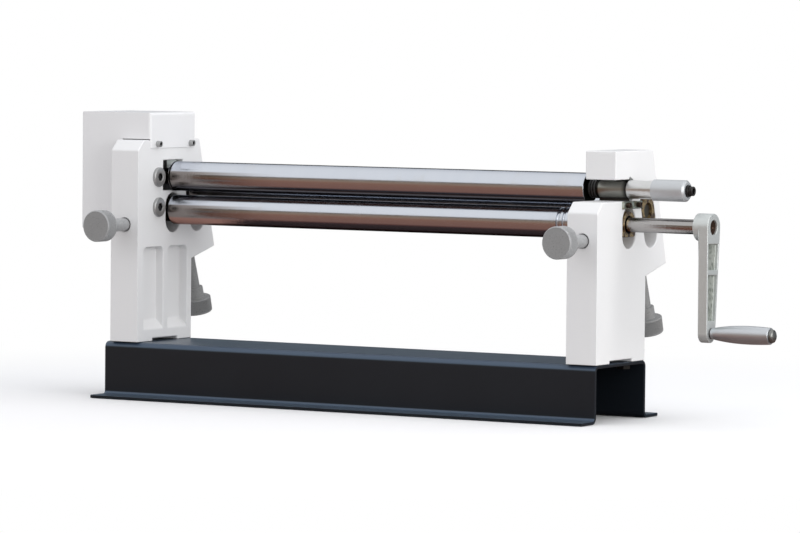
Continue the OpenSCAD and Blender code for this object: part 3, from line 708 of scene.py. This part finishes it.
dulled = finish("dulled_steel", dulled_steel, Metallic=0.9)
spindle = turned("handle_spindle_turned", foot, (1, 0, 0), [
    (463.5, 0), (463.5, 4, 0.3), (557, 4), (557, 8.25, 0.4), (559, 8.25), (560.6, 7.5),
    (561.5, 6.0), (561.9, 3.6), (562, 2), (562, 0)], sides=96)
settle(spindle, dulled, "lower_roll", "turned_aluminium", "handle_spindle")


# ---------------------------------------------------------------------------
# Adjusting screws. Four M12 screws: the front pair pushes the lower roll's
# blocks up with cone points, the rear pair carries the rear roll's blocks.
# ---------------------------------------------------------------------------
def plating(at):
    worn, cloud = at.grain(0.002), at.grain(0.012)
    return {
        "Base Color": cloud.blend((0.36, 0.36, 0.35), (0.50, 0.50, 0.49)),
        "Roughness": 0.3 + 0.2 * worn,
        "Normal": worn.relief(0.00003),
    }


plated = finish("zinc_plating", plating, Metallic=1.0)


def threaded(name, start, along, stations, pitch=1.75, depth=1.0, sides=40):
    """A threaded bar. Stations are (distance, radius) in mm; the thread is cut into them."""
    work = bmesh.new()
    along = Vector(along).normalized()
    aside = along.orthogonal().normalized()
    upright = along.cross(aside)
    first, last = stations[0][0], stations[-1][0]
    count = round((last - first) / pitch * 8)
    rings = []
    for index in range(count + 1):
        distance = first + (last - first) * index / count
        for (d0, r0), (d1, r1) in zip(stations, stations[1:]):
            if d0 <= distance <= d1 + 1e-6 and d1 > d0:
                radius = r0 + (r1 - r0) * (distance - d0) / (d1 - d0)
        ring = []
        for side in range(sides):
            angle = math.tau * side / sides
            turn_part = (distance / pitch - side / sides) % 1
            cut = depth * (1 - abs(2 * turn_part - 1)) * min(1, radius / 4)
            reach = (radius - cut) * MM
            around = aside * math.cos(angle) + upright * math.sin(angle)
            ring.append(work.verts.new(Vector(start) + along * distance * MM + around * reach))
        rings.append(ring)
    for one, two in zip(rings, rings[1:]):
        for side in range(sides):
            work.faces.new((one[side], one[(side + 1) % sides], two[(side + 1) % sides], two[side]))
    work.faces.new(rings[0])
    work.faces.new(rings[-1])
    bmesh.ops.recalc_face_normals(work, faces=work.faces)
    return piece_of(name, work)


lean = math.radians(15)
slot_way = Vector((0, -math.sin(lean), math.cos(lean)))
rear_axis = axis_of("rear_roll")
for side in ("left", "right"):
    node = "front_" + side + "_screw"
    low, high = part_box(node)
    middle = Vector(((low.x + high.x) / 2, 0, (low.z + high.z) / 2))
    outline = [(-67, 6), (-12.26, 6), (6.6, 0.8)]
    screw = threaded(node + "_threaded", middle, (0, 1, 0), outline)
    settle(screw, plated, node, "screw_steel", node)
    node = "rear_" + side + "_screw"
    low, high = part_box(node)
    middle = rear_axis + Vector(((low.x + high.x) / 2, 0, 0))
    outline = [(-76.45, 6), (-15.3, 6), (-15.25, 4), (-12.32, 4)]
    screw = threaded(node + "_threaded", middle, slot_way, outline)
    settle(screw, plated, "rear_carriage", "screw_steel", node)


# ---------------------------------------------------------------------------
# Knobs. Four grey nylon knobs are moulded on the screws: a disc with fine ribs
# round its side, a collar and a long neck. The rear pair hangs under its slots.
# ---------------------------------------------------------------------------
def nylon(at):
    fine, cloud = at.grain(0.0012, detail=3), at.grain(0.025)
    speck, pit = at.grain(0.0013, detail=1), at.grain(0.0016, detail=2)
    tone = cloud.blend((0.245, 0.247, 0.247), (0.28, 0.282, 0.282))
    # the front knobs' sides and backs are painted paler than their faces as painted light, and the
    # pale specks, most on those sides, are painted glints
    side = at.facing("Y").between(-0.95, -0.85) * (1 - at.part("Y").between(-0.07, -0.06))
    tone = side.blend(tone, (0.33, 0.335, 0.34))
    tone = pit.between(0.60, 0.70).blend(tone, (0.17, 0.17, 0.17))
    glint = speck.between(0.60, 0.70) * (0.25 + 0.75 * side)
    return {
        "Base Color": glint.blend(tone, (0.48, 0.48, 0.48)),
        "Roughness": 0.3 + 0.14 * fine,
        "Normal": fine.relief(0.00018),
    }


def ribbed(angle):
    """Outline of the disc's side: ninety fine ribs."""
    return 1 - 0.016 * (1 + math.cos(90 * angle))


grey_nylon = finish("grey_nylon", nylon)
radius, thick, chamfer = 20, 20, 1.4
rim = radius - chamfer
disc = [
    (0, 0), (0.3, rim - 1), (0, rim - 0.5), (0, rim), (chamfer, radius, 0.6), (2.2, radius),
    (2.6, radius, 0, ribbed), (thick - 2.4, radius, 0, ribbed), (thick - 2, radius),
    (thick - 0.8, radius, 0.5), (thick, radius - 1),
]
rear_foot = rear_axis - slot_way * 158.48 * MM
for place, way, collar_length, neck, length in (
    ("front", Vector((0, 1, 0)), 10, (8.2, 8.2), 64.5),
    ("rear", slot_way, 14, (8.0, 6.3), 82),
):
    collar_end = thick + collar_length
    stem = [(thick, 12.1, 0.8), (collar_end, 11.5, 0.6), (collar_end, neck[0] + 0.1, 0.5),
            (length, neck[1]), (length, 0)]
    for side in ("left", "right"):
        node = place + "_" + side + "_knob"
        low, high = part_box(node)
        front_foot = Vector((0, low.y, (low.z + high.z) / 2))
        start = Vector(rear_foot if place == "rear" else front_foot)
        start.x = (low.x + high.x) / 2
        knob = turned(node + "_moulded", start, way, disc + stem, sides=360)
        settle(knob, grey_nylon, node, "grey_plastic", node)


# ---------------------------------------------------------------------------
# Idler axles. Two ground pins with wide heads carry the idler gears behind the
# left housing; each head has a deep hexagon socket whose black bottom and lining are painted shade.
# ---------------------------------------------------------------------------
def sanded_steel(at):
    lines, cloud = at.grain(0.0009, detail=3), at.grain(0.008)
    return {
        "Base Color": cloud.blend((0.36, 0.365, 0.365), (0.43, 0.435, 0.435)),
        "Roughness": 0.34 + 0.16 * cloud,
        "Normal": lines.relief(0.00003),
    }


sanded = finish("sanded_steel", sanded_steel, Metallic=0.7)
for node in ("upper_idler_axle", "lower_idler_axle"):
    centre = axis_of(node)
    axle = turned(node + "_turned", centre, (1, 0, 0), [
        (-369, 0), (-369, 6, 0.6), (-307, 6), (-307, 12.3), (-304.1, 12.3, 0.4),
        (-303, 11.2, 0.5), (-303, 6.2, 0.2), (-303.4, 5.5, 0, hexagon),
        (-306.5, 5.5, 0, hexagon), (-306.5, 0)], sides=120)
    settle(axle, sanded, "frame", "idler_steel", node)
    # a black bottom and lining in the socket: painted shade
    bottom = turned(node + "_socket", centre, (1, 0, 0), [
        (-306.45, 0), (-306.45, 5.4, 0, hexagon), (-304.0, 5.44, 0, hexagon),
        (-304.0, 5.3, 0, hexagon), (-306.3, 5.2, 0, hexagon), (-306.3, 0)], sides=96)
    settle(bottom, black_rubber, "frame", "idler_steel")


# ---------------------------------------------------------------------------
# Gear cover. A folded and welded sheet steel box, enamelled white inside and
# out, hides the gears; two socket screws on spacers hold its tab to the
# housing, over which it stands with a narrow slit.
# ---------------------------------------------------------------------------
def sheet_enamel_skin(at):
    peel, cloud, speck = at.grain(0.003, detail=1), at.grain(0.15), at.grain(0.0006, detail=4)
    tone = cloud.blend((0.79, 0.79, 0.80), (0.83, 0.83, 0.835))
    return {
        "Base Color": speck.between(0.74, 0.82).blend(tone, (0.70, 0.70, 0.70)),
        "Roughness": 0.3 + 0.12 * cloud + 0.05 * speck,
        "Normal": (peel * 0.8 + speck * 0.2).relief(0.00005),
    }


sheet_enamel = finish("sheet_enamel", sheet_enamel_skin, Coat_Weight=0.12, Coat_Roughness=0.15)
eased("gear_cover", 0.35 * MM, sheet_enamel, "white_sheet")
for node in ("cover_screw_front", "cover_screw_rear"):
    cap_screw(node, 6, 3.95, 2.6, 3, sanded, "plated_steel")


# ---------------------------------------------------------------------------
# Studio. The machine stands on a wide white floor under three soft boxes. Cards
# stand for a brown bench in front and a dim room behind; only polish sees them.
# ---------------------------------------------------------------------------
def plane(name, corners):
    """A flat sheet of the studio."""
    mesh = bpy.data.meshes.new(name)
    mesh.from_pydata(corners, [], [tuple(range(len(corners)))])
    sheet = bpy.data.objects.new(name, mesh)
    bpy.context.scene.collection.objects.link(sheet)
    return sheet


reach, depth = 14, -0.5 * MM
floor = plane("floor", [
    (-reach, -reach, depth), (reach, -reach, depth), (reach, reach, depth), (-reach, reach, depth)])
paper = bpy.data.materials.new("studio_paper")
paper.use_nodes = True
at = Wire(paper.node_tree)
shader = paper.node_tree.nodes["Principled BSDF"]
shader.inputs["Roughness"].default_value = 0.9
shader.inputs["Specular IOR Level"].default_value = 0.1
mottle = at.grain(0.02)
sheet = mottle.blend((0.885, 0.885, 0.885), (0.90, 0.90, 0.90))
sheet = at.node("LightPath").blend((0.43, 0.42, 0.415), sheet)
paper.node_tree.links.new(sheet.socket, shader.inputs["Base Color"])
white = at.node("Emission", None, {"Color": (1, 1, 1, 1), "Strength": 1.0})
# the floor and the air show white to the camera, in mirrors and through glass
camera_ray, glossy_ray, transmission_ray = 0, 3, 6
seen = at.node("LightPath", out=camera_ray) + at.node("LightPath", out=glossy_ray)
seen = seen + at.node("LightPath", out=transmission_ray)
spot = at.node("NewGeometry")
away = spot.node("VectorMath", {"operation": "LENGTH"}, {0: spot}, out=1).between(0.5, 1.2)
factor = away * seen.sum("MINIMUM", seen, 1.0)
lit = Wire(paper.node_tree, shader.outputs[0])
mixed = at.node("MixShader", None, {0: factor, 1: lit, 2: white})
surface = paper.node_tree.nodes["Material Output"].inputs["Surface"]
paper.node_tree.links.new(mixed.socket, surface)
floor.data.materials.append(paper)

world = bpy.data.worlds.new("studio")
world.use_nodes = True
bpy.context.scene.world = world
at = Wire(world.node_tree)
seen = at.node("LightPath", out=camera_ray) + at.node("LightPath", out=glossy_ray)
seen = seen + at.node("LightPath", out=transmission_ray)
air = seen.sum("MINIMUM", seen, 1.0).blend((0.83, 0.83, 0.85), (1, 1, 1))
world.node_tree.links.new(air.socket, world.node_tree.nodes["Background"].inputs["Color"])


def soft_box(name, place, toward, size, power, colour, reflected=False):
    """A rectangular lamp; polished surfaces mirror it only where reflected is set."""
    lamp = bpy.data.lights.new(name, "AREA")
    lamp.shape, lamp.size, lamp.size_y = "RECTANGLE", size[0], size[1]
    lamp.energy, lamp.color = power, colour
    hung = bpy.data.objects.new(name, lamp)
    hung.location = place
    hung.rotation_mode = "QUATERNION"
    hung.rotation_quaternion = (Vector(toward) - Vector(place)).to_track_quat("-Z", "Y")
    hung.visible_glossy = reflected
    bpy.context.scene.collection.objects.link(hung)


soft_box("overhead_box", (0.3, 0.1, 2.6), (0.1, 0, 0.2), (3.2, 3.2), 22, (0.90, 0.95, 1.0))
soft_box("right_box", (2.9, -0.6, 0.75), (0.1, 0, 0.2), (3.0, 2.0), 55, (1.0, 1.0, 0.99),
         reflected=True)
soft_box("front_box", (-1.0, -3.0, 1.2), (0, 0, 0.2), (1.4, 1.4), 8, (0.97, 0.98, 1.0))


def reflected_card(name, corners, axis, low, high, stops):
    """A card that only polished surfaces see; its tones run along the axis from low to high."""
    card = plane(name, corners)
    card.visible_camera = card.visible_diffuse = False
    card.visible_shadow = card.visible_transmission = False
    board = bpy.data.materials.new(name)
    board.use_nodes = True
    at = Wire(board.node_tree)
    way = at.node("MapRange", None, {0: at.part(axis), 1: low, 2: high})
    tone = at.node("ValToRGB", {"stops": stops}, {0: way})
    glow = at.node("Emission", None, {"Color": tone, "Strength": 1.0})
    surface = board.node_tree.nodes["Material Output"].inputs["Surface"]
    board.node_tree.links.new(glow.socket, surface)
    card.data.materials.append(board)


reflected_card(
    "bench_top",
    [(-3.5, -2.2, 0.001), (3.5, -2.2, 0.001), (3.5, 2.4, 0.001), (-3.5, 2.4, 0.001)],
    "Y", -2.2, 0.0,
    ((0.0, (0.33, 0.20, 0.145)), (0.5, (0.31, 0.165, 0.115)), (0.92, (0.26, 0.135, 0.105)),
     (0.965, (0.07, 0.045, 0.045)), (1.0, (0.02, 0.018, 0.02))),
)
reflected_card(
    "bench_corner",
    [(0.40, -0.6, 0.002), (1.2, -0.6, 0.002), (1.2, 0.6, 0.002), (0.40, 0.6, 0.002)],
    "X", 0.40, 1.2,
    ((0.0, (0.16, 0.10, 0.085)), (1.0, (0.26, 0.16, 0.13))),
)
reflected_card(
    "bench_front",
    [(-3.5, -2.2, 0.001), (1.5, -2.2, 0.001), (1.5, -2.3, 0.95), (-3.5, -2.3, 0.95)],
    "Z", 0.0, 0.95,
    ((0.0, (0.33, 0.22, 0.16)), (0.35, (0.34, 0.24, 0.175)), (0.70, (0.24, 0.19, 0.15)),
     (0.90, (0.20, 0.165, 0.135)), (1.0, (0.26, 0.24, 0.22))),
)
reflected_card(
    "rear_low",
    [(-6, 2.5, 0.001), (4, 2.5, 0.001), (4, 2.5, 0.45), (-6, 2.5, 0.45)],
    "X", -2.2, -0.7,
    ((0.0, (0.27, 0.36, 0.43)), (1.0, (0.42, 0.45, 0.48))),
)
reflected_card(
    "rear_high",
    [(-6, 2.5, 0.45), (4, 2.5, 0.45), (4, 2.5, 2.2), (-6, 2.5, 2.2)],
    "Z", 0.45, 2.2,
    ((0.0, (0.03, 0.035, 0.045)), (1.0, (0.10, 0.11, 0.12))),
)
